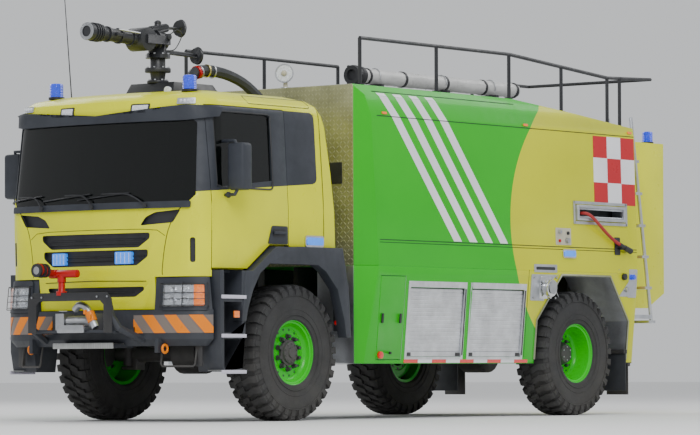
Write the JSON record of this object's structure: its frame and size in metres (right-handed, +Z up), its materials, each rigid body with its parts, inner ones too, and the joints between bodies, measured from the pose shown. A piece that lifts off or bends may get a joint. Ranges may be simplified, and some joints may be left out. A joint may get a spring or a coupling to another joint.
{
  "type": "airport fire truck",
  "caption": "Four-wheel airport fire truck: forward cab, tank body with shutter lockers, roof and bumper water monitors, rear pump compartment.",
  "frame": {"origin": "on the ground under the middle of the truck's length and width", "axes": "+X to the truck's left, +Y to its rear, +Z up; it faces -Y"},
  "size_m": [2.88, 8.735, 4.0203],
  "materials": {
    "tyre_rubber": "matt, ribbed tread",
    "black_paint": "satin chassis paint",
    "lime_paint": "gloss lime-yellow paint",
    "green_paint": "gloss green paint",
    "cab_glass": "clear, lightly tinted",
    "dark_plastic": "grained dark grey plastic",
    "seat_fabric": "woven upholstery",
    "bare_steel": "brushed",
    "aluminium_slats": "anodised slats",
    "monitor_black": "satin black paint",
    "hose_rubber": "smooth rubber",
    "red_hose": "smooth rubber",
    "monitor_red": "gloss red paint",
    "hose_wrap": "woven hose jacket"
  },
  "bodies": {
    "body": {"bumper_monitor_base": "monitor_red", "cab_shell": "lime_paint", "chassis_frame": "black_paint", "dashboard": "dark_plastic", "engine_and_driveline": "black_paint", "fender_and_steps_left": "dark_plastic", "fender_and_steps_right": "dark_plastic", "front_axle": "black_paint", "front_bumper": "dark_plastic", "hose_guide": "bare_steel", "hose_nozzle": "monitor_red", "lower_body_left": "green_paint", "lower_body_right": "green_paint", "pump_box": "lime_paint", "rear_axle": "black_paint", "rear_ladder": "bare_steel", "roof_monitor_base": "monitor_black", "roof_rail_left": "monitor_black", "roof_rail_right": "monitor_black", "roof_supply_hose": "hose_rubber", "seat_left": "seat_fabric", "seat_right": "seat_fabric", "side_hose": "red_hose", "stowed_suction_hose": "hose_wrap", "tank_inlet_left": "bare_steel", "tank_inlet_right": "bare_steel", "upper_body": "green_paint", "whip_antenna": "dark_plastic", "winch": "bare_steel", "windshield": "cab_glass"},
    "front_wheel_left": {"front_wheel_left": "tyre_rubber"},
    "rear_wheel_left": {"rear_wheel_left": "tyre_rubber"},
    "steering_knuckle_left": {"steering_knuckle_left": "black_paint"},
    "cab_door_left": {"cab_door_left": "lime_paint", "door_window_left": "cab_glass", "mirror_left": "dark_plastic"},
    "front_shutter_left": {"front_shutter_left": "aluminium_slats"},
    "rear_shutter_left": {"rear_shutter_left": "aluminium_slats"},
    "locker_door_left": {"locker_door_left": "green_paint"},
    "front_wheel_right": {"front_wheel_right": "tyre_rubber"},
    "rear_wheel_right": {"rear_wheel_right": "tyre_rubber"},
    "steering_knuckle_right": {"steering_knuckle_right": "black_paint"},
    "cab_door_right": {"cab_door_right": "lime_paint", "door_window_right": "cab_glass", "mirror_right": "dark_plastic"},
    "front_shutter_right": {"front_shutter_right": "aluminium_slats"},
    "rear_shutter_right": {"rear_shutter_right": "aluminium_slats"},
    "locker_door_right": {"locker_door_right": "green_paint"},
    "steering_wheel": {"steering_wheel": "dark_plastic"},
    "roof_monitor_head": {"roof_monitor_head": "monitor_black"},
    "roof_monitor_barrel": {"roof_monitor_barrel": "monitor_black"},
    "bumper_monitor_body": {"bumper_monitor_body": "monitor_red"},
    "bumper_monitor_nozzle": {"bumper_monitor_nozzle": "monitor_red"},
    "rear_door": {"rear_door": "lime_paint"}
  },
  "joints": [
    {"name": "steering_left", "type": "hinge", "parent": "body", "child": "steering_knuckle_left", "pos_m": [0.8, -2.435, 0.62058], "axis": [0, 0, 1], "range_deg": [-30, 30]},
    {"name": "front_wheel_left_roll", "type": "hinge", "parent": "steering_knuckle_left", "child": "front_wheel_left", "pos_m": [1.016, -2.435, 0.62058], "axis": [1, 0, 0], "continuous": true},
    {"name": "rear_wheel_left_roll", "type": "hinge", "parent": "body", "child": "rear_wheel_left", "pos_m": [1.063, 2.065, 0.62058], "axis": [1, 0, 0], "continuous": true},
    {"name": "cab_door_left_swing", "type": "hinge", "parent": "body", "child": "cab_door_left", "pos_m": [1.175, -3.595, 1.83], "axis": [0, 0, -1], "range_deg": [0, 75]},
    {"name": "locker_door_left_swing", "type": "hinge", "parent": "body", "child": "locker_door_left", "pos_m": [1.21654, -1.215, 0.95], "axis": [-0.0893, 0, -0.996], "range_deg": [0, 90]},
    {"name": "front_shutter_left_lift", "type": "slide", "parent": "body", "child": "front_shutter_left", "axis": [0, 0, 1], "range_m": [0, 0.58]},
    {"name": "rear_shutter_left_lift", "type": "slide", "parent": "body", "child": "rear_shutter_left", "axis": [0, 0, 1], "range_m": [0, 0.58]},
    {"name": "steering_right", "type": "hinge", "parent": "body", "child": "steering_knuckle_right", "pos_m": [-0.8, -2.435, 0.62058], "axis": [0, 0, 1], "range_deg": [-30, 30]},
    {"name": "front_wheel_right_roll", "type": "hinge", "parent": "steering_knuckle_right", "child": "front_wheel_right", "pos_m": [-1.016, -2.435, 0.62058], "axis": [1, 0, 0], "continuous": true},
    {"name": "rear_wheel_right_roll", "type": "hinge", "parent": "body", "child": "rear_wheel_right", "pos_m": [-1.063, 2.065, 0.62058], "axis": [1, 0, 0], "continuous": true},
    {"name": "cab_door_right_swing", "type": "hinge", "parent": "body", "child": "cab_door_right", "pos_m": [-1.175, -3.595, 1.83], "axis": [0, 0, 1], "range_deg": [0, 75]},
    {"name": "locker_door_right_swing", "type": "hinge", "parent": "body", "child": "locker_door_right", "pos_m": [-1.21654, -1.215, 0.95], "axis": [-0.0893, 0, 0.996], "range_deg": [0, 90]},
    {"name": "front_shutter_right_lift", "type": "slide", "parent": "body", "child": "front_shutter_right", "axis": [0, 0, 1], "range_m": [0, 0.58]},
    {"name": "rear_shutter_right_lift", "type": "slide", "parent": "body", "child": "rear_shutter_right", "axis": [0, 0, 1], "range_m": [0, 0.58]},
    {"name": "steering_wheel_turn", "type": "hinge", "parent": "body", "child": "steering_wheel", "pos_m": [0.62, -3.21, 2.015], "axis": [0, 0.7557, 0.6549], "range_deg": [-480, 480]},
    {"name": "roof_monitor_yaw", "type": "hinge", "parent": "body", "child": "roof_monitor_head", "pos_m": [0, -2.955, 3.33], "axis": [0, 0, 1], "range_deg": [-120, 120]},
    {"name": "roof_monitor_tilt", "type": "hinge", "parent": "roof_monitor_head", "child": "roof_monitor_barrel", "pos_m": [0, -3.195, 3.49], "axis": [-1, 0, 0], "range_deg": [-15, 70]},
    {"name": "bumper_monitor_yaw", "type": "hinge", "parent": "body", "child": "bumper_monitor_body", "pos_m": [-0.13, -4.135, 1.255], "axis": [0, 0, 1], "range_deg": [-80, 80]},
    {"name": "bumper_monitor_tilt", "type": "hinge", "parent": "bumper_monitor_body", "child": "bumper_monitor_nozzle", "pos_m": [-0.22, -4.135, 1.33], "axis": [-1, 0, 0], "range_deg": [-20, 60]},
    {"name": "rear_door_swing", "type": "hinge", "parent": "body", "child": "rear_door", "pos_m": [0, 4.335, 2.82], "axis": [1, 0, 0], "range_deg": [0, 90]}
  ],
  "couplings": [
    {"joint": "steering_right", "follows": "steering_left", "ratio": 1},
    {"joint": "steering_wheel_turn", "follows": "steering_left", "ratio": 16}
  ]
}
